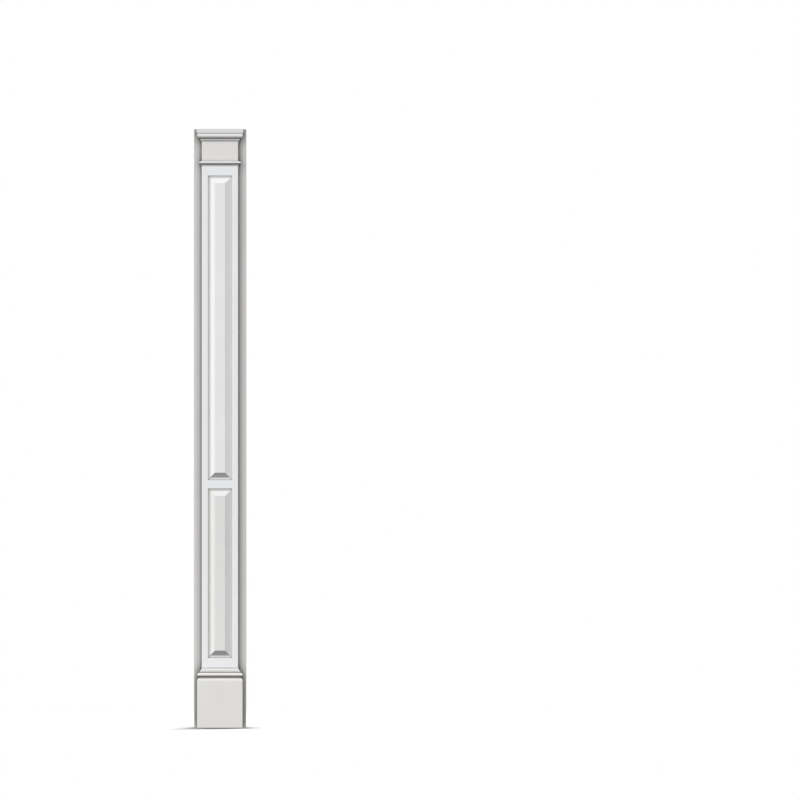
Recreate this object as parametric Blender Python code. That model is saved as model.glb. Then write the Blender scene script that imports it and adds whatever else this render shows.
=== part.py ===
"""Painted timber pilaster, planted together on a backing board and fixed flat to a wall.

Run it with blender --background --python part.py, or from the text editor.

Sizes are in metres. The wall is the plane y = 0 and the pilaster stands out from it towards -Y, with +Z up.
The origin is the centre of the backing board's back. Every moulding is a profile of (height, overhang)
points, where overhang is how far it stands proud of the shaft, at the front and at both sides alike.
"""

import math

import bmesh
import bpy

# Clearance between pieces that touch
FIT_GAP = 0.0003

# Board behind everything, which shows as a strip on both sides of the shaft
BACKING_THICKNESS = 0.019
BACKING_STRIP = 0.0305
BACKING_ARRIS = 0.0015

# Shaft board, which the necking block matches, and the panel openings in it
SHAFT_WIDTH = 0.139
SHAFT_THICKNESS = 0.019
SHAFT_HEIGHT = 1.915
SHAFT_ARRIS = 0.002
STILE_WIDTH = 0.0237
TOP_RAIL = 0.037
MIDDLE_RAIL = 0.0325
BOTTOM_RAIL = 0.0375
LOWER_OPENING = 0.6465
OPENING_ARRIS = 0.001

# Raised and fielded panels
PANEL_EDGE_THICKNESS = 0.0095
PANEL_SIDE_MARGIN = 0.007
PANEL_END_MARGIN = 0.009
PANEL_BEVEL = 0.019
FIELD_SETBACK = 0.0008

# Plinth block
PLINTH_HEIGHT = 0.191
PLINTH_OVERHANG = 0.0175
PLINTH_TOP_SETBACK = 0.0095
PLINTH_TOP_DROP = 0.0125
PLINTH_FOOT_ARRIS = 0.002
PLINTH_ARRIS = 0.003

# Base moulding, from its foot up
BASE_LEDGE = 0.0005
BASE_FILLET = 0.0035
TORUS_RADIUS = 0.008
TORUS_SETBACK = 0.001
BASE_QUIRK = 0.0025
BASE_QUIRK_DEPTH = 0.002
BASE_NIB = 0.006
BASE_NIB_SETBACK = 0.0085
BASE_COVE = 0.009
BASE_LIP = 0.001

# Astragal, from its foot up
ASTRAGAL_LIP = 0.0008
ASTRAGAL_COVE = 0.0057
ASTRAGAL_FILLET = 0.001
ASTRAGAL_RADIUS = 0.00475
ASTRAGAL_OVERHANG = 0.010
ASTRAGAL_TOP = 0.0005

# Necking block
NECKING_HEIGHT = 0.073

# Capital moulding, from its foot up
CAPITAL_LIP = 0.001
CAPITAL_COVE = 0.0055
CAPITAL_FILLET = 0.0055
CAPITAL_FILLET_OVERHANG = 0.0052
OVOLO_LEDGE = 0.0028
OVOLO_RISE = 0.01455
OVOLO_BULGE = 0.009
OVOLO_RETURN = math.radians(22)
CAPITAL_QUIRK = 0.002
CAPITAL_QUIRK_DEPTH = 0.003
FASCIA_STEP = 0.0057
FASCIA_HEIGHT = 0.016
FASCIA_RAKE = 0.0016

# How far a moulding stands proud where it meets a plain face
LIP_OVERHANG = 0.0008

# Plans of the pieces, each as (width, back, front)
SHAFT_BACK = -BACKING_THICKNESS - FIT_GAP
SHAFT_FACE = SHAFT_BACK - SHAFT_THICKNESS
SHAFT_PLAN = (SHAFT_WIDTH, SHAFT_BACK, SHAFT_FACE)
BACKING_PLAN = (SHAFT_WIDTH + 2 * BACKING_STRIP, 0.0, -BACKING_THICKNESS)
OPENING_HALF_WIDTH = SHAFT_WIDTH / 2 - STILE_WIDTH

# Straight pieces that stand for a quarter of a round
QUARTER_STEPS = 12
ARRIS_STEPS = 5

# Sides shaded smooth where they meet at less than this angle
SMOOTH_ANGLE = math.radians(30)

# Paint: a cool white on the shaft, warmer whites on the other pieces
COOL_WHITE = (0.80, 0.81, 0.82)
NEUTRAL_WHITE = (0.79, 0.79, 0.79)
WARM_WHITE = (0.76, 0.75, 0.74)
PAINT_ROUGHNESS = 0.45


def clear_scene():
    for item in list(bpy.data.objects):
        bpy.data.objects.remove(item)


def new_collection(name):
    group = bpy.data.collections.new(name)
    bpy.context.scene.collection.children.link(group)
    return group


def paint(name, colour):
    """Satin paint in one plain colour."""
    material = bpy.data.materials.new(name)
    material.use_nodes = True
    shader = material.node_tree.nodes["Principled BSDF"]
    shader.inputs["Base Color"].default_value = (*colour, 1.0)
    shader.inputs["Roughness"].default_value = PAINT_ROUGHNESS
    shader.inputs["Metallic"].default_value = 0.0
    return material


def add_object(name, builder, group, colour=None):
    """Turns the mesh builder into a named object with its faces pointing out."""
    bmesh.ops.recalc_face_normals(builder, faces=builder.faces)
    mesh = bpy.data.meshes.new(name)
    builder.to_mesh(mesh)
    builder.free()
    mesh.shade_smooth()
    mesh.set_sharp_from_angle(angle=SMOOTH_ANGLE)
    item = bpy.data.objects.new(name, mesh)
    group.objects.link(item)
    if colour:
        mesh.materials.append(paint(name + "_paint", colour))
    return item


def arc(centre, radii, start, end, steps):
    """Points (height, overhang) round an ellipse. Angle 0 looks straight out and 90 degrees looks up."""
    points = []
    for step in range(steps + 1):
        angle = start + (end - start) * step / steps
        height = centre[0] + radii[0] * math.sin(angle)
        overhang = centre[1] + radii[1] * math.cos(angle)
        points.append((height, overhang))
    return points


def cavetto(foot, head):
    """Hollow quarter from foot to head, upright at its inner end and level at its outer end."""
    rise = head[0] - foot[0]
    reach = head[1] - foot[1]
    if reach > 0:
        return arc((foot[0], head[1]), (rise, -reach), 0.0, math.pi / 2, QUARTER_STEPS)
    return arc((head[0], foot[1]), (rise, reach), -math.pi / 2, 0.0, QUARTER_STEPS)


def straight_profile(height):
    return [(0.0, 0.0), (height, 0.0)]


def plinth_profile():
    """Eased foot, upright side and rounded top edge."""
    foot_centre = (PLINTH_FOOT_ARRIS, PLINTH_OVERHANG - PLINTH_FOOT_ARRIS)
    head_centre = (PLINTH_HEIGHT - PLINTH_TOP_DROP, PLINTH_OVERHANG - PLINTH_TOP_SETBACK)
    foot = arc(foot_centre, (PLINTH_FOOT_ARRIS, PLINTH_FOOT_ARRIS), -math.pi / 2, 0.0, ARRIS_STEPS)
    head = arc(head_centre, (PLINTH_TOP_DROP, PLINTH_TOP_SETBACK), 0.0, math.pi / 2, QUARTER_STEPS)
    return foot + head


def base_profile():
    """Recessed fillet, torus, quirk, nib and a cove that runs up to the shaft."""
    fillet_overhang = PLINTH_OVERHANG - PLINTH_TOP_SETBACK - BASE_LEDGE
    torus_middle = PLINTH_OVERHANG - TORUS_SETBACK - TORUS_RADIUS
    nib_overhang = PLINTH_OVERHANG - TORUS_SETBACK - BASE_NIB_SETBACK
    quirk_overhang = nib_overhang - BASE_QUIRK_DEPTH
    quirk_foot = BASE_FILLET + 2 * TORUS_RADIUS
    quirk_top = quirk_foot + BASE_QUIRK
    nib_top = quirk_top + BASE_NIB
    cove_top = nib_top + BASE_COVE
    fillet = [(0.0, fillet_overhang), (BASE_FILLET, fillet_overhang)]
    torus_centre = (BASE_FILLET + TORUS_RADIUS, torus_middle)
    torus_radii = (TORUS_RADIUS, TORUS_RADIUS)
    torus = arc(torus_centre, torus_radii, -math.pi / 2, math.pi / 2, 2 * QUARTER_STEPS)
    quirk = [(quirk_foot, quirk_overhang), (quirk_top, quirk_overhang), (quirk_top, nib_overhang)]
    cove = cavetto((nib_top, nib_overhang), (cove_top, LIP_OVERHANG))
    return fillet + torus + quirk + cove + [(cove_top + BASE_LIP, LIP_OVERHANG)]


def astragal_profile():
    """Cove up from the shaft, and a bead over it."""
    bead_middle = ASTRAGAL_OVERHANG - ASTRAGAL_RADIUS
    cove_top = ASTRAGAL_LIP + ASTRAGAL_COVE
    bead_centre = (cove_top + ASTRAGAL_FILLET + ASTRAGAL_RADIUS, bead_middle)
    bead_radii = (ASTRAGAL_RADIUS, ASTRAGAL_RADIUS)
    cove = cavetto((ASTRAGAL_LIP, LIP_OVERHANG), (cove_top, bead_middle))
    bead = arc(bead_centre, bead_radii, -math.pi / 2, math.pi / 2, 2 * QUARTER_STEPS)
    top = bead[-1][0] + ASTRAGAL_TOP
    return [(0.0, LIP_OVERHANG)] + cove + bead + [(top, bead_middle)]


def capital_profile():
    """Small cove and fillet, ovolo, quirk, and a raked fascia with a square top."""
    cove_top = CAPITAL_LIP + CAPITAL_COVE
    fillet_top = cove_top + CAPITAL_FILLET
    ovolo_foot = CAPITAL_FILLET_OVERHANG + OVOLO_LEDGE
    ovolo_centre = (fillet_top + OVOLO_RISE, ovolo_foot)
    ovolo_radii = (OVOLO_RISE, OVOLO_BULGE)
    cove = cavetto((CAPITAL_LIP, LIP_OVERHANG), (cove_top, CAPITAL_FILLET_OVERHANG))
    ovolo = arc(ovolo_centre, ovolo_radii, -math.pi / 2, OVOLO_RETURN, 2 * QUARTER_STEPS)
    ovolo_top, ovolo_overhang = ovolo[-1]
    quirk_top = ovolo_top + CAPITAL_QUIRK
    quirk_overhang = ovolo_overhang - CAPITAL_QUIRK_DEPTH
    fascia_overhang = quirk_overhang + FASCIA_STEP
    quirk = [(ovolo_top, quirk_overhang), (quirk_top, quirk_overhang)]
    fascia = [(quirk_top, fascia_overhang), (quirk_top + FASCIA_HEIGHT, fascia_overhang + FASCIA_RAKE)]
    lip = [(0.0, LIP_OVERHANG)]
    fillet = [(fillet_top, CAPITAL_FILLET_OVERHANG)]
    return lip + cove + fillet + ovolo + quirk + fascia


def extruded_face(builder, face, keep):
    """Copies a face and joins the copy to it by side faces. The old face stays only where it is an end."""
    extruded = bmesh.ops.extrude_face_region(builder, geom=[face])["geom"]
    if not keep:
        bmesh.ops.delete(builder, geom=[face], context="FACES_ONLY")
    return next(item for item in extruded if isinstance(item, bmesh.types.BMFace))


def moulded_block(name, group, colour, plan, profile, foot, corner=0.0):
    """Rectangle on plan, rounded at its front corners, carried up a profile that starts at height foot."""
    width, back, front = plan
    builder = bmesh.new()
    bmesh.ops.create_grid(builder, x_segments=1, y_segments=1, size=0.5)
    for vertex in builder.verts:
        vertex.co.x = math.copysign(width / 2, vertex.co.x)
        vertex.co.y = back if vertex.co.y > 0 else front
    if corner:
        corners = sorted(builder.verts, key=lambda vertex: vertex.co.y)[:2]
        bmesh.ops.bevel(
            builder, geom=corners, affect="VERTICES", offset=corner, segments=ARRIS_STEPS, profile=0.5
        )
    middle = (back + front) / 2
    reached = 0.0
    cap = next(iter(builder.faces))
    for number, (height, overhang) in enumerate(profile):
        if number:
            cap = extruded_face(builder, cap, keep=number == 1)
        for vertex in cap.verts:
            side = math.copysign(1.0, vertex.co.x)
            vertex.co.x += side * (overhang - reached)
            if vertex.co.y < middle:
                vertex.co.y -= overhang - reached
            vertex.co.z = foot + height
        reached = overhang
    return add_object(name, builder, group, colour)


def block_between(low, high):
    """Mesh builder that holds a box between two corners."""
    builder = bmesh.new()
    bmesh.ops.create_cube(builder, size=1.0)
    for vertex in builder.verts:
        for axis in range(3):
            vertex.co[axis] = high[axis] if vertex.co[axis] > 0 else low[axis]
    return builder


def front_face(builder):
    return min(builder.faces, key=lambda face: face.calc_center_median().y)


def moved_in(builder, face, side, end, depth):
    """Copies a front face, moves its sides and ends in and its plane out, and joins the copy to it."""
    inner = extruded_face(builder, face, keep=False)
    middle = inner.calc_center_median()
    for vertex in inner.verts:
        vertex.co.x -= math.copysign(1.0, vertex.co.x - middle.x) * side
        vertex.co.z -= math.copysign(1.0, vertex.co.z - middle.z) * end
        vertex.co.y -= depth
    return inner


def opening_cutter(name, group, low_z, high_z):
    """Box as large as a panel opening, flared where it leaves the shaft's face so that the edge is eased."""
    low = (-OPENING_HALF_WIDTH, SHAFT_FACE + OPENING_ARRIS, low_z)
    high = (OPENING_HALF_WIDTH, 0.0, high_z)
    builder = block_between(low, high)
    flare = 2 * OPENING_ARRIS
    moved_in(builder, front_face(builder), -flare, -flare, flare)
    cutter = add_object(name, builder, group)
    cutter.hide_render = True
    cutter.display_type = "WIRE"
    return cutter


def cut(item, cutter):
    boolean = item.modifiers.new("cut_" + cutter.name, "BOOLEAN")
    boolean.operation = "DIFFERENCE"
    boolean.solver = "EXACT"
    boolean.object = cutter


def fielded_panel(name, group, low_z, high_z):
    """Flat margin round a bevel that rises to a flat field, a clearance inside its opening."""
    half_width = OPENING_HALF_WIDTH - FIT_GAP
    low = (-half_width, SHAFT_BACK - PANEL_EDGE_THICKNESS, low_z + FIT_GAP)
    high = (half_width, SHAFT_BACK, high_z - FIT_GAP)
    builder = block_between(low, high)
    rise = SHAFT_THICKNESS - PANEL_EDGE_THICKNESS - FIELD_SETBACK
    margin = moved_in(builder, front_face(builder), PANEL_SIDE_MARGIN, PANEL_END_MARGIN, 0.0)
    moved_in(builder, margin, PANEL_BEVEL, PANEL_BEVEL, rise)
    return add_object(name, builder, group, NEUTRAL_WHITE)


def fill_shaft(shaft, shaft_foot, pieces, cutters):
    """Cuts the shaft's two openings, one over the other, and sets a panel in each."""
    lower_foot = shaft_foot + BOTTOM_RAIL
    lower_head = lower_foot + LOWER_OPENING
    upper_foot = lower_head + MIDDLE_RAIL
    upper_head = shaft_foot + SHAFT_HEIGHT - TOP_RAIL
    for place, low_z, high_z in (("lower", lower_foot, lower_head), ("upper", upper_foot, upper_head)):
        cut(shaft, opening_cutter(place + "_opening", cutters, low_z, high_z))
        fielded_panel(place + "_panel", pieces, low_z, high_z)


def build_pilaster():
    """Stands the blocks on one another from the floor up, in front of one backing board."""
    pieces = new_collection("pilaster")
    cutters = new_collection("cutters")
    stack = {
        "plinth_block": (WARM_WHITE, plinth_profile(), PLINTH_ARRIS),
        "base_moulding": (WARM_WHITE, base_profile(), 0.0),
        "shaft_frame": (COOL_WHITE, straight_profile(SHAFT_HEIGHT), SHAFT_ARRIS),
        "astragal": (WARM_WHITE, astragal_profile(), 0.0),
        "necking_block": (WARM_WHITE, straight_profile(NECKING_HEIGHT), SHAFT_ARRIS),
        "capital_moulding": (WARM_WHITE, capital_profile(), 0.0),
    }
    heights = {name: profile[-1][0] for name, (colour, profile, corner) in stack.items()}
    total = sum(heights.values()) + FIT_GAP * (len(stack) - 1)
    board = straight_profile(total)
    moulded_block("backing_board", pieces, NEUTRAL_WHITE, BACKING_PLAN, board, -total / 2, BACKING_ARRIS)
    foot = -total / 2
    for name, (colour, profile, corner) in stack.items():
        block = moulded_block(name, pieces, colour, SHAFT_PLAN, profile, foot, corner)
        if name == "shaft_frame":
            fill_shaft(block, foot, pieces, cutters)
        foot += heights[name] + FIT_GAP


clear_scene()
build_pilaster()
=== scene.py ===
"""Looks of a painted timber pilaster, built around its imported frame.

Sizes are in metres, in the frame's own axes: the wall is the plane y = 0, the pilaster faces -Y and +Z is up.
Every moulding is a profile of (height, overhang) points, where overhang is how far it stands proud of the
shaft, at the front and at both sides alike.
"""

import math

import bmesh
import bpy
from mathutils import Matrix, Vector


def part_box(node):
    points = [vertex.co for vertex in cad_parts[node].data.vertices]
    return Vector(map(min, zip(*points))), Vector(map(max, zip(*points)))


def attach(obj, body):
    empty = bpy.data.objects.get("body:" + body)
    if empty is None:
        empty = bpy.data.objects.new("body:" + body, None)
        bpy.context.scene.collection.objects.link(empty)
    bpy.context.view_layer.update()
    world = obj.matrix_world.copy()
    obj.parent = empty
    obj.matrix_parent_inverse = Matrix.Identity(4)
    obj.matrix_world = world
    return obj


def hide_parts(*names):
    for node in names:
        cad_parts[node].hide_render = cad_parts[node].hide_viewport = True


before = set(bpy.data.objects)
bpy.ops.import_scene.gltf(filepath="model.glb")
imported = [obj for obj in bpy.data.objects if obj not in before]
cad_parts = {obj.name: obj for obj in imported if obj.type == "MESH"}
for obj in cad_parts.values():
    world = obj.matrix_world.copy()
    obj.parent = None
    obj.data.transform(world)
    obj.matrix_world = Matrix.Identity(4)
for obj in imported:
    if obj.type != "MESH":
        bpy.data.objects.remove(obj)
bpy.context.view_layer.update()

# Plan of the shaft and of the backing board behind it, and the ends of the whole pilaster
SHAFT_LOW, SHAFT_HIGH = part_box("shaft_frame")
SHAFT_WIDTH = SHAFT_HIGH.x - SHAFT_LOW.x
SHAFT_FACE = SHAFT_LOW.y
BOARD_LOW, BOARD_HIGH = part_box("backing_board")
BOARD_FACE = BOARD_LOW.y
FOOT = BOARD_LOW.z
HEAD = BOARD_HIGH.z

# Clearance that the frame keeps between its pieces, closed here where they are glued together
FIT_GAP = 0.0003

# Rounded edges
SHAFT_ARRIS = 0.002
BACKING_ARRIS = 0.0015
OPENING_ARRIS = 0.001
PAINTED_ARRIS = 0.0004
FIELD_ARRIS = 0.0006

# Raised and fielded panels
PANEL_EDGE_THICKNESS = 0.0095
PANEL_SIDE_MARGIN = 0.007
PANEL_END_MARGIN = 0.009
PANEL_BEVEL = 0.019

# Plinth block
PLINTH_OVERHANG = 0.0175
PLINTH_TOP_SETBACK = 0.0095
PLINTH_TOP_DROP = 0.0125
PLINTH_FOOT_ARRIS = 0.002
PLINTH_ARRIS = 0.003

# Base moulding, from its foot up
BASE_LEDGE = 0.0005
BASE_FILLET = 0.0035
TORUS_RADIUS = 0.008
TORUS_SETBACK = 0.001
BASE_QUIRK = 0.0025
BASE_QUIRK_DEPTH = 0.002
BASE_NIB = 0.006
BASE_NIB_SETBACK = 0.0085
BASE_COVE = 0.009

# Astragal, from its foot up
ASTRAGAL_LIP = 0.0008
ASTRAGAL_COVE = 0.0057
ASTRAGAL_FILLET = 0.001
ASTRAGAL_RADIUS = 0.00475
ASTRAGAL_OVERHANG = 0.010

# Capital moulding, from its foot up
CAPITAL_LIP = 0.001
CAPITAL_COVE = 0.0055
CAPITAL_FILLET = 0.0055
CAPITAL_FILLET_OVERHANG = 0.0052
OVOLO_LEDGE = 0.0028
OVOLO_RISE = 0.01455
OVOLO_BULGE = 0.009
OVOLO_RETURN = math.radians(22)
CAPITAL_QUIRK = 0.002
CAPITAL_QUIRK_DEPTH = 0.003
FASCIA_STEP = 0.0057
FASCIA_RAKE = 0.0016

# How far a moulding stands proud where it meets a plain face
LIP_OVERHANG = 0.0008

# Straight pieces that stand for a quarter of a round, a rounded corner, a softened edge and the floor's rim
QUARTER_STEPS = 24
ARRIS_STEPS = 8
EDGE_STEPS = 3
FLOOR_SIDES = 96

# Bevels: the angle from which an edge counts as sharp, and the setting that makes them true rounds
SHARP_ANGLE = math.radians(20)
ROUND_PROFILE = 0.5

# Half the side of a new grid, whose points are then put in place
GRID_HALF = 0.5

# How near to a plane a point on it lies, and the share of a normal along Y below which a face drops away
SAME_PLANE = 1e-6
DROP_AWAY = 0.5

# Paint colours
SHAFT_COLOUR = (0.78, 0.79, 0.80)
UPPER_PANEL_COLOUR = (0.77, 0.77, 0.77)
LOWER_PANEL_COLOUR = (0.705, 0.70, 0.695)
BLOCK_COLOUR = (0.71, 0.70, 0.69)
BASE_COLOUR = (0.65, 0.64, 0.63)
ASTRAGAL_COLOUR = (0.64, 0.63, 0.62)
CAPITAL_COLOUR = (0.835, 0.825, 0.82)
BACKING_COLOUR = (0.65, 0.64, 0.63)
PRIMER_COLOUR = (0.66, 0.63, 0.58)
# Painted shade in hollows
HOLLOW_SHADE_COLOUR = (0.10, 0.095, 0.09)
# Painted shade that tones down faces that look up
TOP_SHADE_COLOUR = (0.46, 0.455, 0.45)
# Painted shade on faces that look down
UNDERSIDE_SHADE_COLOUR = (0.30, 0.298, 0.296)
PAINT_UNEVENNESS = (0.985, 1.012)
PRIMER_TINTS = (1.03, 0.88)
PAINT_ROUGHNESS = (0.38, 0.50)
PRIMER_ROUGHNESS = (0.62, 0.78)

# How much primer hides the grain, from thin patches to thick ones
PRIMER_COVER = (0.0, 0.6)

# Part of a noise's range that most of it falls in
NOISE_RANGE = (0.3, 0.7)
PATCH_RANGE = (0.35, 0.65)

# Steps of ever finer detail in a noise
SOFT_DETAIL = 2.0
STROKE_DETAIL = 3.0
PATCH_DETAIL = 4.0

# Marks in the paint and the timber: size on each axis, and depth of relief
UPRIGHT_STROKES = (0.0013, 0.0013, 0.17)
LEVEL_STROKES = (0.17, 0.0013, 0.0013)
STROKE_DEPTH = 0.00007
CLOUD_SIZE = (0.08, 0.08, 0.11)
STIPPLE_SIZE = (0.0007, 0.0007, 0.0007)
STIPPLE_DEPTH = 0.00001
GRAIN_SCALE = 48.0
GRAIN_STRETCH = (1.0, 1.0, 0.07)
GRAIN_WANDER = {"Distortion": 3.0, "Detail": 2.0, "Detail Scale": 0.6}
GRAIN_DEPTH = 0.00003
PRIMER_PATCHES = (0.03, 0.03, 0.22)
PRIMER_STROKES = (0.002, 0.002, 0.15)
PRIMER_STROKE_DEPTH = 0.00005
PRIMER_GRAIN_DEPTH = 0.00006

# Finish paint that runs over the edges of the back: how wide it is there, how soft its rim and how ragged
OVERRUN = 0.008
OVERRUN_FADE = 0.002
OVERRUN_WANDER = 0.006
OVERRUN_SIZE = (0.004, 0.004, 0.02)

# Painted shade: how near another surface makes a hollow, the openness at which painted shade hides the paint
# there, how much painted shade tones down faces that look up, and how much darkens those that look down. The
# capital gets none on faces that look up. The slope after them is how far up or down a face's normal points
# where both are full.
FRAME_SHADE = (0.012, 0.12, 1.0, 0.0)
PANEL_SHADE = (0.012, 0.12, 1.0, 1.0)
BLOCK_SHADE = (0.012, 0.03, 1.0, 0.0)
CAPITAL_SHADE = (0.05, 0.38, 0.0, 0.5)
MOULDING_SHADE = (0.05, 0.36, 0.5, 0.0)
BACKING_SHADE = (0.05, 0.50, 0.8, 0.0)
FACE_SHADE_SLOPE = 0.75
HOLLOW_SAMPLES = 16

# Finish of each node: material slot, paint colour, brush strokes, painted shade, and place of the timber's
# pith
FINISHES = {
    "backing_board": ("backing_paint", BACKING_COLOUR, UPRIGHT_STROKES, BACKING_SHADE, (0.03, 0.07, 0.0)),
    "plinth_block": ("block_paint", BLOCK_COLOUR, UPRIGHT_STROKES, BLOCK_SHADE, (-0.02, 0.09, 0.3)),
    "base_moulding": ("moulding_paint", BASE_COLOUR, LEVEL_STROKES, MOULDING_SHADE, (0.01, 0.08, 0.6)),
    "shaft_frame": ("shaft_paint", SHAFT_COLOUR, UPRIGHT_STROKES, FRAME_SHADE, (0.02, 0.10, 0.9)),
    "lower_panel": ("panel_paint", LOWER_PANEL_COLOUR, UPRIGHT_STROKES, PANEL_SHADE, (0.0, 0.06, 1.2)),
    "upper_panel": ("panel_paint", UPPER_PANEL_COLOUR, UPRIGHT_STROKES, PANEL_SHADE, (0.01, 0.07, 1.5)),
    "astragal": ("moulding_paint", ASTRAGAL_COLOUR, LEVEL_STROKES, MOULDING_SHADE, (-0.01, 0.08, 1.8)),
    "necking_block": ("block_paint", BLOCK_COLOUR, UPRIGHT_STROKES, BLOCK_SHADE, (-0.03, 0.09, 2.1)),
    "capital_moulding": ("moulding_paint", CAPITAL_COLOUR, LEVEL_STROKES, CAPITAL_SHADE, (0.02, 0.08, 2.4)),
}

# Floor: a pale disc that fades out, with a soft shade round the pilaster's foot
FLOOR_RADIUS = 3.2
FLOOR_FADE = (0.35, 0.95)
FLOOR_COLOURS = ((0.86, 0.86, 0.85), (0.89, 0.89, 0.88))
FLOOR_SPECKLE = (0.004, 0.004, 0.004)
FLOOR_ROUGHNESS = 0.75
SHADE_COLOUR = (0.04, 0.04, 0.042)
SHADE_REACH = 0.6
SHADE_OPENNESS = (0.72, 0.985)
SHADE_SAMPLES = 32

# Lights: direction from the pilaster to the light, strength, spread in degrees, and whether it casts shadows
LIGHTS = {
    "left_form_light": ((-0.587, -0.492, 0.643), 3.3, 20.0, False),
    "right_form_light": ((0.587, -0.492, 0.643), 1.4, 20.0, False),
    "top_form_light": ((0.0, -0.423, 0.906), 0.86, 20.0, False),
    "left_key": ((-0.720, -0.604, 0.342), 0.62, 30.0, True),
    "back_light": ((0.45, 0.80, 0.40), 2.8, 25.0, True),
}
WORLD_SEEN = 1.0
WORLD_CAST = 0.05

# Camera: the place of the photograph's middle and its scale on the shaft's face
PHOTO_SIZE = 800
PIXEL_SIZE = 0.003816
PHOTO_CENTRE_COLUMN = 220.0
PHOTO_FOOT_ROW = 728.0
CAMERA_DISTANCE = 45.0
CAMERA_REACH = 3 * CAMERA_DISTANCE
SENSOR_WIDTH = 0.036
MM_PER_METRE = 1000

# Sockets of a mix node that hold colours, because each kind of value has its own there
MIX_FIRST = 6
MIX_SECOND = 7
MIX_RESULT = 2


def arc(centre, radii, start, end, steps):
    """Points (height, overhang) round an ellipse. Angle 0 looks straight out and 90 degrees looks up."""
    points = []
    for step in range(steps + 1):
        angle = start + (end - start) * step / steps
        height = centre[0] + radii[0] * math.sin(angle)
        overhang = centre[1] + radii[1] * math.cos(angle)
        points.append((height, overhang))
    return points


def cavetto(foot, head):
    """Hollow quarter from foot to head, upright at its inner end and level at its outer end."""
    rise = head[0] - foot[0]
    reach = head[1] - foot[1]
    if reach > 0:
        return arc((foot[0], head[1]), (rise, -reach), 0.0, math.pi / 2, QUARTER_STEPS)
    return arc((head[0], foot[1]), (rise, reach), -math.pi / 2, 0.0, QUARTER_STEPS)


def straight_profile(height):
    return [(0.0, 0.0), (height, 0.0)]


def plinth_profile(height):
    """Eased foot, upright side and rounded top edge."""
    foot_centre = (PLINTH_FOOT_ARRIS, PLINTH_OVERHANG - PLINTH_FOOT_ARRIS)
    head_centre = (height - PLINTH_TOP_DROP, PLINTH_OVERHANG - PLINTH_TOP_SETBACK)
    foot = arc(foot_centre, (PLINTH_FOOT_ARRIS, PLINTH_FOOT_ARRIS), -math.pi / 2, 0.0, ARRIS_STEPS)
    head = arc(head_centre, (PLINTH_TOP_DROP, PLINTH_TOP_SETBACK), 0.0, math.pi / 2, QUARTER_STEPS)
    return foot + head


def base_profile(height):
    """Recessed fillet, torus, quirk, nib and a cove that runs up to the shaft."""
    fillet_overhang = PLINTH_OVERHANG - PLINTH_TOP_SETBACK - BASE_LEDGE
    torus_middle = PLINTH_OVERHANG - TORUS_SETBACK - TORUS_RADIUS
    nib_overhang = PLINTH_OVERHANG - TORUS_SETBACK - BASE_NIB_SETBACK
    quirk_overhang = nib_overhang - BASE_QUIRK_DEPTH
    quirk_foot = BASE_FILLET + 2 * TORUS_RADIUS
    quirk_top = quirk_foot + BASE_QUIRK
    nib_top = quirk_top + BASE_NIB
    cove_top = nib_top + BASE_COVE
    fillet = [(0.0, fillet_overhang), (BASE_FILLET, fillet_overhang)]
    torus_centre = (BASE_FILLET + TORUS_RADIUS, torus_middle)
    torus = arc(torus_centre, (TORUS_RADIUS, TORUS_RADIUS), -math.pi / 2, math.pi / 2, 2 * QUARTER_STEPS)
    quirk = [(quirk_foot, quirk_overhang), (quirk_top, quirk_overhang), (quirk_top, nib_overhang)]
    cove = cavetto((nib_top, nib_overhang), (cove_top, LIP_OVERHANG))
    return fillet + torus + quirk + cove + [(height, LIP_OVERHANG)]


def astragal_profile(height):
    """Cove up from the shaft, and a bead over it."""
    bead_middle = ASTRAGAL_OVERHANG - ASTRAGAL_RADIUS
    cove_top = ASTRAGAL_LIP + ASTRAGAL_COVE
    bead_centre = (cove_top + ASTRAGAL_FILLET + ASTRAGAL_RADIUS, bead_middle)
    cove = cavetto((ASTRAGAL_LIP, LIP_OVERHANG), (cove_top, bead_middle))
    bead = arc(bead_centre, (ASTRAGAL_RADIUS, ASTRAGAL_RADIUS), -math.pi / 2, math.pi / 2, 2 * QUARTER_STEPS)
    return [(0.0, LIP_OVERHANG)] + cove + bead + [(height, bead_middle)]


def capital_profile(height):
    """Small cove and fillet, ovolo, quirk, and a raked fascia with a square top."""
    cove_top = CAPITAL_LIP + CAPITAL_COVE
    fillet_top = cove_top + CAPITAL_FILLET
    ovolo_foot = CAPITAL_FILLET_OVERHANG + OVOLO_LEDGE
    ovolo_centre = (fillet_top + OVOLO_RISE, ovolo_foot)
    ovolo_radii = (OVOLO_RISE, OVOLO_BULGE)
    cove = cavetto((CAPITAL_LIP, LIP_OVERHANG), (cove_top, CAPITAL_FILLET_OVERHANG))
    ovolo = arc(ovolo_centre, ovolo_radii, -math.pi / 2, OVOLO_RETURN, 2 * QUARTER_STEPS)
    ovolo_top, ovolo_overhang = ovolo[-1]
    quirk_top = ovolo_top + CAPITAL_QUIRK
    quirk_overhang = ovolo_overhang - CAPITAL_QUIRK_DEPTH
    fascia_overhang = quirk_overhang + FASCIA_STEP
    quirk = [(ovolo_top, quirk_overhang), (quirk_top, quirk_overhang)]
    fascia = [(quirk_top, fascia_overhang), (height, fascia_overhang + FASCIA_RAKE)]
    lip = [(0.0, LIP_OVERHANG)]
    fillet = [(fillet_top, CAPITAL_FILLET_OVERHANG)]
    return lip + cove + fillet + ovolo + quirk + fascia


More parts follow.
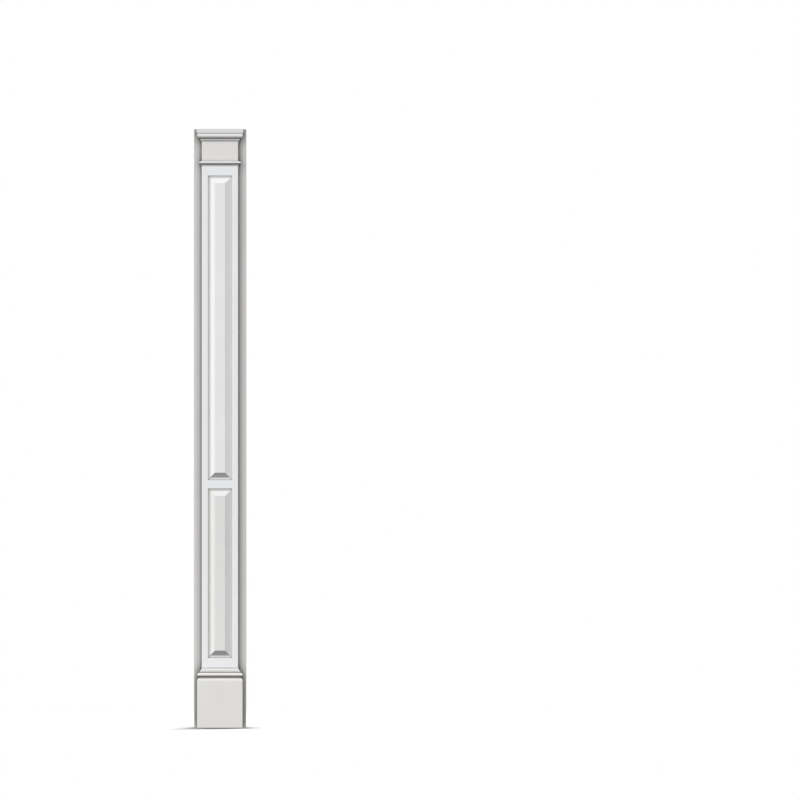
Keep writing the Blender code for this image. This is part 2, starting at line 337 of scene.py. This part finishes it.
class Shader:
    """Adds and joins the nodes of one material or world."""

    def __init__(self, owner):
        owner.use_nodes = True
        self.tree = owner.node_tree
        self.tree.nodes.clear()

    def add(self, kind, inputs=None, **settings):
        node = self.tree.nodes.new(kind)
        for name, value in settings.items():
            setattr(node, name, value)
        for name, value in (inputs or {}).items():
            self.feed(node.inputs[name], value)
        return node

    def feed(self, socket, value):
        if isinstance(value, bpy.types.NodeSocket):
            self.tree.links.new(value, socket)
        else:
            socket.default_value = value

    def noise(self, place, size, detail=SOFT_DETAIL):
        """Soft noise whose features are size long on each axis, from 0 to 1."""
        stretch = [1.0 / length for length in size]
        mapped = self.add("ShaderNodeMapping", {"Vector": place, "Scale": stretch})
        node = self.add("ShaderNodeTexNoise", {"Vector": mapped.outputs[0], "Scale": 1.0, "Detail": detail})
        return node.outputs["Fac"]

    def ranged(self, value, low, high, start=0.0, end=1.0):
        """value, spread from the range start to end over the range low to high."""
        inputs = {"Value": value, "From Min": start, "From Max": end, "To Min": low, "To Max": high}
        return self.add("ShaderNodeMapRange", inputs).outputs[0]

    def tinted(self, factor, first, second):
        """Colour between two others."""
        node = self.add("ShaderNodeMix", {0: factor}, data_type="RGBA")
        for number, colour in ((MIX_FIRST, first), (MIX_SECOND, second)):
            linked = isinstance(colour, bpy.types.NodeSocket)
            self.feed(node.inputs[number], colour if linked else (*colour, 1.0))
        return node.outputs[MIX_RESULT]

    def bumped(self, height, depth, normal=None):
        inputs = {"Height": height, "Distance": depth, "Strength": 1.0}
        if normal:
            inputs["Normal"] = normal
        return self.add("ShaderNodeBump", inputs).outputs[0]

    def grain(self, place, pith):
        """Growth rings round an upright pith, drawn out along the board, from 0 to 1."""
        stretched = {"Vector": place, "Location": pith, "Scale": GRAIN_STRETCH}
        rings = {"Scale": GRAIN_SCALE, **GRAIN_WANDER}
        rings["Vector"] = self.add("ShaderNodeMapping", stretched).outputs[0]
        return self.add("ShaderNodeTexWave", rings, wave_type="RINGS", rings_direction="Z").outputs["Fac"]

    def openness(self, reach, samples):
        """Share of the space in front of a face that is clear as far as reach."""
        return self.add("ShaderNodeAmbientOcclusion", {"Distance": reach}, samples=samples).outputs["AO"]

    def end(self, surface, kind="ShaderNodeOutputMaterial"):
        output = self.add(kind)
        self.feed(output.inputs["Surface"], surface)


def scaled(colour, share):
    return tuple(channel * share for channel in colour)


def painted_timber(name, colour, strokes, pith, painted_shade):
    """Brushed satin paint over timber: strokes, faint grain, and painted shade in hollows, on faces that look
    up and on faces that look down.
    """
    material = bpy.data.materials.new(name)
    shader = Shader(material)
    place = shader.add("ShaderNodeTexCoord").outputs["Object"]
    clouds = shader.ranged(shader.noise(place, CLOUD_SIZE), 0.0, 1.0, *NOISE_RANGE)
    brushed = shader.noise(place, strokes, STROKE_DETAIL)
    stipple = shader.noise(place, STIPPLE_SIZE)
    even = shader.tinted(clouds, *(scaled(colour, share) for share in PAINT_UNEVENNESS))
    reach, closed, most_top_shade, most_underside_shade = painted_shade
    normal = shader.add("ShaderNodeNewGeometry").outputs["Normal"]
    upward = shader.add("ShaderNodeSeparateXYZ", {0: normal}).outputs["Z"]
    # Painted shade that tones down faces that look up
    top_shade = shader.ranged(upward, 0.0, most_top_shade, 0.0, FACE_SHADE_SLOPE)
    # Painted shade on faces that look down
    underside_shade = shader.ranged(upward, most_underside_shade, 0.0, -FACE_SHADE_SLOPE, 0.0)
    # Painted shade in hollows, darkest where little of the space in front is open
    hollow_shade = shader.ranged(shader.openness(reach, HOLLOW_SAMPLES), 1.0, 0.0, closed, 1.0)
    shaded_paint = shader.tinted(top_shade, even, TOP_SHADE_COLOUR)
    shaded_paint = shader.tinted(underside_shade, shaded_paint, UNDERSIDE_SHADE_COLOUR)
    shaded_paint = shader.tinted(hollow_shade, shaded_paint, HOLLOW_SHADE_COLOUR)
    relief = shader.bumped(shader.grain(place, pith), GRAIN_DEPTH)
    relief = shader.bumped(brushed, STROKE_DEPTH, relief)
    relief = shader.bumped(stipple, STIPPLE_DEPTH, relief)
    roughness = shader.ranged(brushed, *PAINT_ROUGHNESS, *NOISE_RANGE)
    inputs = {"Base Color": shaded_paint, "Roughness": roughness, "Normal": relief}
    shader.end(shader.add("ShaderNodeBsdfPrincipled", inputs).outputs[0])
    return material


def primed_timber(name, paint_colour, pith):
    """Thin primer on the built-in faces, with the grain showing and finish paint run over the edges."""
    material = bpy.data.materials.new(name)
    shader = Shader(material)
    place = shader.add("ShaderNodeTexCoord").outputs["Object"]
    grain = shader.grain(place, pith)
    patches = shader.noise(place, PRIMER_PATCHES, PATCH_DETAIL)
    strokes = shader.noise(place, PRIMER_STROKES, STROKE_DETAIL)
    timber = shader.tinted(grain, *(scaled(PRIMER_COLOUR, share) for share in PRIMER_TINTS))
    primed = shader.tinted(shader.ranged(patches, *PRIMER_COVER, *PATCH_RANGE), timber, PRIMER_COLOUR)
    across = shader.add("ShaderNodeSeparateXYZ", {0: place}).outputs["X"]
    distance = shader.add("ShaderNodeMath", {0: across}, operation="ABSOLUTE").outputs[0]
    ragged = shader.noise(place, OVERRUN_SIZE, PATCH_DETAIL)
    wander = shader.ranged(ragged, -OVERRUN_WANDER, OVERRUN_WANDER)
    reach = shader.add("ShaderNodeMath", {0: distance, 1: wander}, operation="ADD").outputs[0]
    rim = BOARD_HIGH.x - OVERRUN
    overrun = shader.ranged(reach, 0.0, 1.0, rim, rim + OVERRUN_FADE)
    colour = shader.tinted(overrun, primed, paint_colour)
    relief = shader.bumped(grain, PRIMER_GRAIN_DEPTH)
    relief = shader.bumped(strokes, PRIMER_STROKE_DEPTH, relief)
    roughness = shader.ranged(patches, *PRIMER_ROUGHNESS)
    inputs = {"Base Color": colour, "Roughness": roughness, "Normal": relief}
    shader.end(shader.add("ShaderNodeBsdfPrincipled", inputs).outputs[0])
    return material


def extruded_face(builder, face, keep):
    """Copies a face and joins the copy to it by side faces. The old face stays only where it is an end."""
    extruded = bmesh.ops.extrude_face_region(builder, geom=[face])["geom"]
    if not keep:
        bmesh.ops.delete(builder, geom=[face], context="FACES_ONLY")
    return next(item for item in extruded if isinstance(item, bmesh.types.BMFace))


def moulded_block(plan, profile, foot, corner=0.0):
    """Mesh builder with a rectangle on plan, rounded at its front corners, carried up a profile from foot."""
    width, back, front = plan
    builder = bmesh.new()
    bmesh.ops.create_grid(builder, x_segments=1, y_segments=1, size=GRID_HALF)
    for vertex in builder.verts:
        vertex.co.x = math.copysign(width / 2, vertex.co.x)
        vertex.co.y = back if vertex.co.y > 0 else front
    if corner:
        corners = sorted(builder.verts, key=lambda vertex: vertex.co.y)[:2]
        rounding = {"offset": corner, "segments": ARRIS_STEPS, "profile": ROUND_PROFILE}
        bmesh.ops.bevel(builder, geom=corners, affect="VERTICES", **rounding)
    middle = (back + front) / 2
    reached = 0.0
    cap = next(iter(builder.faces))
    for number, (height, overhang) in enumerate(profile):
        if number:
            cap = extruded_face(builder, cap, keep=number == 1)
        for vertex in cap.verts:
            side = math.copysign(1.0, vertex.co.x)
            vertex.co.x += side * (overhang - reached)
            if vertex.co.y < middle:
                vertex.co.y -= overhang - reached
            vertex.co.z = foot + height
        reached = overhang
    return builder


def moved_in(builder, face, side, end, depth):
    """Copies a front face, moves its sides and ends in and its plane out, and joins the copy to it."""
    inner = extruded_face(builder, face, keep=False)
    middle = inner.calc_center_median()
    for vertex in inner.verts:
        vertex.co.x -= math.copysign(1.0, vertex.co.x - middle.x) * side
        vertex.co.z -= math.copysign(1.0, vertex.co.z - middle.z) * end
        vertex.co.y -= depth
    return inner


def round_edges(builder, chosen, radius, steps):
    """Rounds the edges that the test picks out."""
    edges = [edge for edge in builder.edges if chosen(edge)]
    rounding = {"offset": radius, "segments": steps, "profile": ROUND_PROFILE}
    bmesh.ops.bevel(builder, geom=edges, affect="EDGES", **rounding)


def edge_lies_on(edge, axis, value):
    return all(abs(vertex.co[axis] - value) < SAME_PLANE for vertex in edge.verts)


def shaft_frame():
    """The shaft's board, with an opening for each panel, as a grid without the cells of the openings."""
    half_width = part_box("upper_panel")[1].x + FIT_GAP
    openings = [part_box(name) for name in ("lower_panel", "upper_panel")]
    columns = [SHAFT_LOW.x, -half_width, half_width, SHAFT_HIGH.x]
    rows = [SHAFT_LOW.z]
    for low, high in openings:
        rows += [low.z - FIT_GAP, high.z + FIT_GAP]
    rows.append(SHAFT_HIGH.z + FIT_GAP)
    builder = bmesh.new()
    cells = {"x_segments": len(columns) - 1, "y_segments": len(rows) - 1}
    bmesh.ops.create_grid(builder, size=GRID_HALF, **cells)
    for vertex in builder.verts:
        column = round((vertex.co.x + GRID_HALF) * cells["x_segments"])
        row = round((vertex.co.y + GRID_HALF) * cells["y_segments"])
        vertex.co = Vector((columns[column], BOARD_FACE, rows[row]))
    inside = [face for face in builder.faces if is_opening(face, half_width, openings)]
    bmesh.ops.delete(builder, geom=inside, context="FACES")
    extruded = bmesh.ops.extrude_face_region(builder, geom=builder.faces[:])["geom"]
    for item in extruded:
        if isinstance(item, bmesh.types.BMVert):
            item.co.y = SHAFT_FACE
    bmesh.ops.recalc_face_normals(builder, faces=builder.faces)
    round_edges(builder, is_shaft_arris, SHAFT_ARRIS, ARRIS_STEPS)
    round_edges(builder, lambda edge: is_opening_arris(edge, half_width), OPENING_ARRIS, EDGE_STEPS)
    return builder


def is_opening(face, half_width, openings):
    middle = face.calc_center_median()
    return abs(middle.x) < half_width and any(low.z < middle.z < high.z for low, high in openings)


def is_shaft_arris(edge):
    at_side = edge_lies_on(edge, 0, SHAFT_LOW.x) or edge_lies_on(edge, 0, SHAFT_HIGH.x)
    return at_side and edge_lies_on(edge, 1, SHAFT_FACE)


def is_opening_arris(edge, half_width):
    """True on the edges round an opening on the shaft's face, where the board's side drops away."""
    at_opening = all(abs(vertex.co.x) < half_width + FIT_GAP for vertex in edge.verts)
    drops_away = any(abs(face.normal.y) < DROP_AWAY for face in edge.link_faces)
    return at_opening and drops_away and edge_lies_on(edge, 1, SHAFT_FACE)


def fielded_panel(node):
    """Flat margin round a bevel that rises to a flat field, close inside its opening."""
    low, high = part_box(node)
    builder = bmesh.new()
    bmesh.ops.create_cube(builder, size=1.0)
    low_corner = (low.x - FIT_GAP, BOARD_FACE - FIT_GAP - PANEL_EDGE_THICKNESS, low.z - FIT_GAP)
    high_corner = (high.x + FIT_GAP, BOARD_FACE, high.z + FIT_GAP)
    for vertex in builder.verts:
        for axis in range(3):
            vertex.co[axis] = high_corner[axis] if vertex.co[axis] > 0 else low_corner[axis]
    face = min(builder.faces, key=lambda item: item.calc_center_median().y)
    side_margin = PANEL_SIDE_MARGIN + FIT_GAP
    end_margin = PANEL_END_MARGIN + FIT_GAP
    margin = moved_in(builder, face, side_margin, end_margin, 0.0)
    moved_in(builder, margin, PANEL_BEVEL, PANEL_BEVEL, low_corner[1] - low.y)
    round_edges(builder, lambda edge: edge_lies_on(edge, 1, low.y), FIELD_ARRIS, EDGE_STEPS)
    return builder


def finished(builder, node, paint, primer):
    """Turns a mesh builder into the piece for a node, painted, and primed where it is built in."""
    bmesh.ops.recalc_face_normals(builder, faces=builder.faces)
    for face in builder.faces:
        built_in = all(vertex.co.y > -FIT_GAP for vertex in face.verts)
        at_foot = all(vertex.co.z < FOOT + FIT_GAP for vertex in face.verts)
        at_head = all(vertex.co.z > HEAD - FIT_GAP for vertex in face.verts)
        face.material_index = 1 if built_in or at_foot or at_head else 0
    mesh = bpy.data.meshes.new(node + "_mesh")
    builder.to_mesh(mesh)
    builder.free()
    mesh.shade_smooth()
    mesh.materials.append(paint)
    mesh.materials.append(primer)
    piece = bpy.data.objects.new("painted_" + node, mesh)
    bpy.context.scene.collection.objects.link(piece)
    soften(piece)
    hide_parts(node)
    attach(piece, "root")


def soften(piece):
    """Takes the sharpness off every edge that is left, as coats of paint do, and keeps broad faces flat."""
    bevel = piece.modifiers.new("painted_edges", "BEVEL")
    bevel.width = PAINTED_ARRIS
    bevel.segments = EDGE_STEPS
    bevel.limit_method = "ANGLE"
    bevel.angle_limit = SHARP_ANGLE
    piece.modifiers.new("flat_broad_faces", "WEIGHTED_NORMAL")


def height_of(node):
    """Height of a node, taken up to the piece that stands on it."""
    low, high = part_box(node)
    top = high.z + FIT_GAP
    return min(top, HEAD) - low.z


def build_pilaster():
    """Every piece of the pilaster, from the wall outwards and from the floor up."""
    shaft_plan = (SHAFT_WIDTH, BOARD_FACE, SHAFT_FACE)
    board_plan = (BOARD_HIGH.x - BOARD_LOW.x, BOARD_HIGH.y, BOARD_FACE)
    board_profile = straight_profile(HEAD - FOOT)
    builders = {"backing_board": moulded_block(board_plan, board_profile, FOOT, BACKING_ARRIS)}
    blocks = (
        ("plinth_block", plinth_profile, PLINTH_ARRIS),
        ("base_moulding", base_profile, 0.0),
        ("astragal", astragal_profile, 0.0),
        ("necking_block", straight_profile, SHAFT_ARRIS),
        ("capital_moulding", capital_profile, 0.0),
    )
    for node, profile, corner in blocks:
        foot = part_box(node)[0].z
        builders[node] = moulded_block(shaft_plan, profile(height_of(node)), foot, corner)
    for node in ("lower_panel", "upper_panel"):
        builders[node] = fielded_panel(node)
    builders["shaft_frame"] = shaft_frame()
    for node, (slot, colour, strokes, painted_shade, pith) in FINISHES.items():
        paint = painted_timber(node + "_finish", colour, strokes, pith, painted_shade)
        primer = primed_timber(node + "_primer", colour, pith)
        finished(builders[node], node, paint, primer)


def lay_floor():
    """Pale disc that fades out towards its rim, is shaded round the foot, and can't be seen from below."""
    builder = bmesh.new()
    bmesh.ops.create_circle(builder, cap_ends=True, segments=FLOOR_SIDES, radius=FLOOR_RADIUS)
    mesh = bpy.data.meshes.new("floor_mesh")
    builder.to_mesh(mesh)
    builder.free()
    floor = bpy.data.objects.new("floor", mesh)
    floor.location.z = FOOT - FIT_GAP
    floor.visible_diffuse = False
    floor.visible_shadow = False
    bpy.context.scene.collection.objects.link(floor)
    material = bpy.data.materials.new("floor_finish")
    shader = Shader(material)
    place = shader.add("ShaderNodeTexCoord").outputs["Object"]
    distance = shader.add("ShaderNodeVectorMath", {0: place}, operation="LENGTH").outputs["Value"]
    fade = shader.ranged(distance, 0.0, 1.0, *(share * FLOOR_RADIUS for share in FLOOR_FADE))
    pale = shader.tinted(shader.noise(place, FLOOR_SPECKLE), *FLOOR_COLOURS)
    open_floor = shader.ranged(shader.openness(SHADE_REACH, SHADE_SAMPLES), 0.0, 1.0, *SHADE_OPENNESS)
    colour = shader.tinted(open_floor, SHADE_COLOUR, pale)
    inputs = {"Base Color": colour, "Roughness": FLOOR_ROUGHNESS}
    solid = shader.add("ShaderNodeBsdfPrincipled", inputs).outputs[0]
    clear = shader.add("ShaderNodeBsdfTransparent").outputs[0]
    below = shader.add("ShaderNodeNewGeometry").outputs["Backfacing"]
    gone = shader.add("ShaderNodeMath", {0: fade, 1: below}, operation="MAXIMUM").outputs[0]
    shader.end(shader.add("ShaderNodeMixShader", {0: gone, 1: solid, 2: clear}).outputs[0])
    mesh.materials.append(material)


def set_camera():
    """Camera square to the wall, framed as the photograph is, far enough off to show a true elevation."""
    camera = bpy.data.objects.new("camera", bpy.data.cameras.new("camera"))
    bpy.context.scene.collection.objects.link(camera)
    frame_width = PHOTO_SIZE * PIXEL_SIZE
    camera.data.sensor_width = MM_PER_METRE * SENSOR_WIDTH
    camera.data.lens = MM_PER_METRE * SENSOR_WIDTH * CAMERA_DISTANCE / frame_width
    camera.data.clip_end = CAMERA_REACH
    camera.location.x = (PHOTO_SIZE / 2 - PHOTO_CENTRE_COLUMN) * PIXEL_SIZE
    camera.location.y = SHAFT_FACE - CAMERA_DISTANCE
    camera.location.z = FOOT + (PHOTO_FOOT_ROW - PHOTO_SIZE / 2) * PIXEL_SIZE
    camera.rotation_euler = (math.pi / 2, 0.0, 0.0)
    bpy.context.scene.camera = camera


def add_sun(name, towards, strength, spread, casts_shadow):
    """Even light from a far panel. towards points from the pilaster to the light."""
    light = bpy.data.lights.new(name, "SUN")
    light.energy = strength
    light.angle = math.radians(spread)
    light.use_shadow = casts_shadow
    item = bpy.data.objects.new(name, light)
    item.rotation_euler = Vector(towards).to_track_quat("Z", "Y").to_euler()
    bpy.context.scene.collection.objects.link(item)


def light_scene():
    """Even light from upper left, upper right and above, a soft key from the left, and one from behind."""
    for name, (towards, strength, spread, casts_shadow) in LIGHTS.items():
        add_sun(name, towards, strength, spread, casts_shadow)
    world = bpy.data.worlds.new("studio")
    bpy.context.scene.world = world
    shader = Shader(world)
    white = (1.0, 1.0, 1.0, 1.0)
    seen = shader.add("ShaderNodeBackground", {"Color": white, "Strength": WORLD_SEEN}).outputs[0]
    cast = shader.add("ShaderNodeBackground", {"Color": white, "Strength": WORLD_CAST}).outputs[0]
    direct = shader.add("ShaderNodeLightPath").outputs["Is Camera Ray"]
    mixed = shader.add("ShaderNodeMixShader", {0: direct, 1: cast, 2: seen}).outputs[0]
    shader.end(mixed, "ShaderNodeOutputWorld")
    bpy.context.scene.view_settings.view_transform = "Standard"


set_camera()
build_pilaster()
lay_floor()
light_scene()
